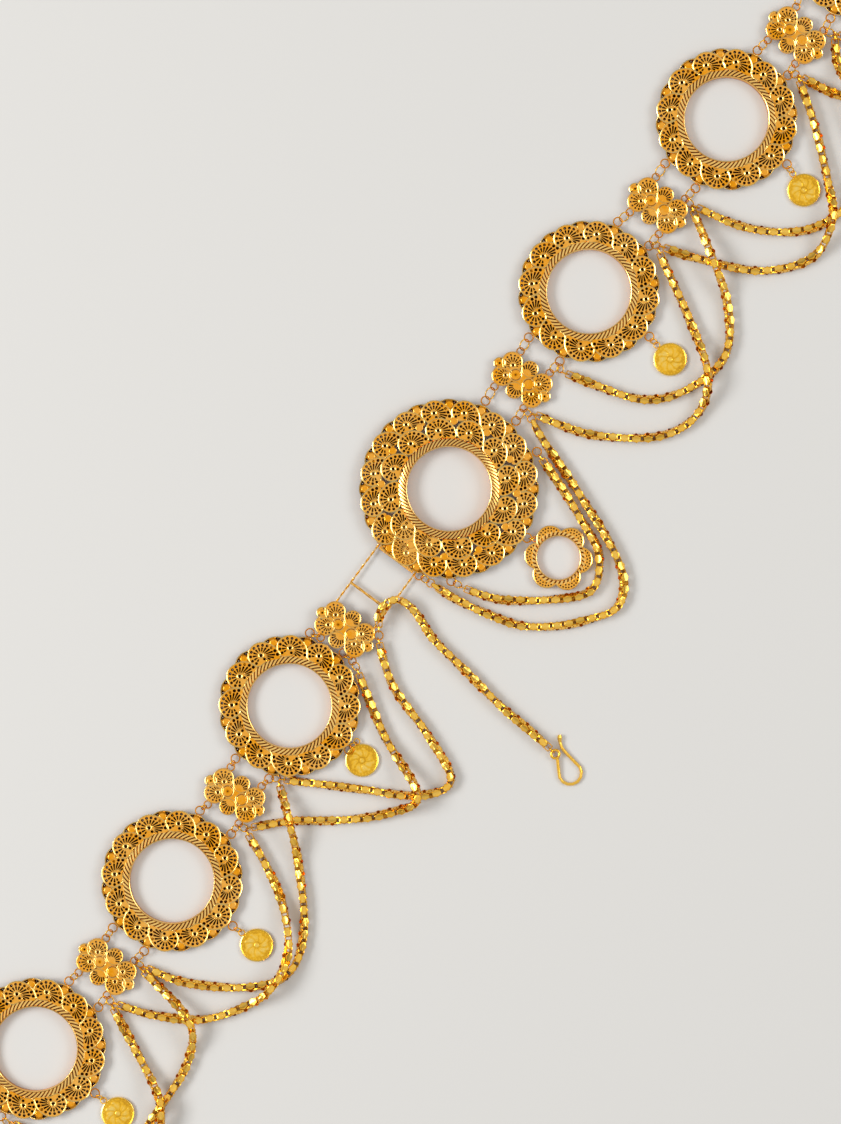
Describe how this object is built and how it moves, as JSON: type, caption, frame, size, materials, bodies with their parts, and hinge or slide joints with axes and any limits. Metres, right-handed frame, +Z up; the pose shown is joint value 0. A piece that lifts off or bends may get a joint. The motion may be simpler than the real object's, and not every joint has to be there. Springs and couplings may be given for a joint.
{
  "type": "gold filigree coin belt",
  "caption": "Hip belt of round gold filigree coin frames joined by lobed connectors, with a larger buckle, chain swags and coin drops, laid straight.",
  "frame": {"origin": "middle of the buckle's coin seat, on the floor that the belt lies on", "axes": "+X along the belt towards its upper end in the picture, -Y towards the side that hangs down when worn, +Z up, away from the floor"},
  "size_m": [0.672, 0.1588, 0.0095],
  "materials": {
    "gold_filigree": "polished",
    "gold_rings": "polished",
    "gold_chain": "polished",
    "gold_coins": "polished"
  },
  "bodies": {
    "root": {"buckle": "gold_filigree", "tongue_plate": "gold_filigree", "medallion_1": "gold_filigree", "medallion_2": "gold_filigree", "medallion_3": "gold_filigree", "medallion_4": "gold_filigree", "medallion_5": "gold_filigree", "medallion_6": "gold_filigree", "connector_1": "gold_filigree", "connector_2": "gold_filigree", "connector_4": "gold_filigree", "connector_5": "gold_filigree", "connector_6": "gold_filigree", "coin_1": "gold_coins", "coin_2": "gold_coins", "coin_3": "gold_coins", "coin_4": "gold_coins", "coin_5": "gold_coins", "coin_6": "gold_coins", "flower": "gold_filigree", "hook": "gold_rings", "end_hook": "gold_rings", "links_1": "gold_rings", "links_2": "gold_rings", "links_3": "gold_rings", "links_4": "gold_rings", "links_5": "gold_rings", "links_6": "gold_rings", "links_7": "gold_rings", "links_8": "gold_rings", "links_9": "gold_rings", "links_10": "gold_rings", "links_11": "gold_rings", "end_rings": "gold_rings", "coin_links": "gold_rings", "swag_1": "gold_chain", "swag_2": "gold_chain", "swag_3": "gold_chain", "swag_4": "gold_chain", "swag_5": "gold_chain", "swag_6": "gold_chain", "swag_7": "gold_chain", "swag_8": "gold_chain", "swag_9": "gold_chain", "swag_10": "gold_chain", "swag_11": "gold_chain", "swag_12": "gold_chain", "buckle_swag_outer": "gold_chain", "buckle_swag_inner": "gold_chain", "safety_chain": "gold_chain"}
  },
  "joints": []
}
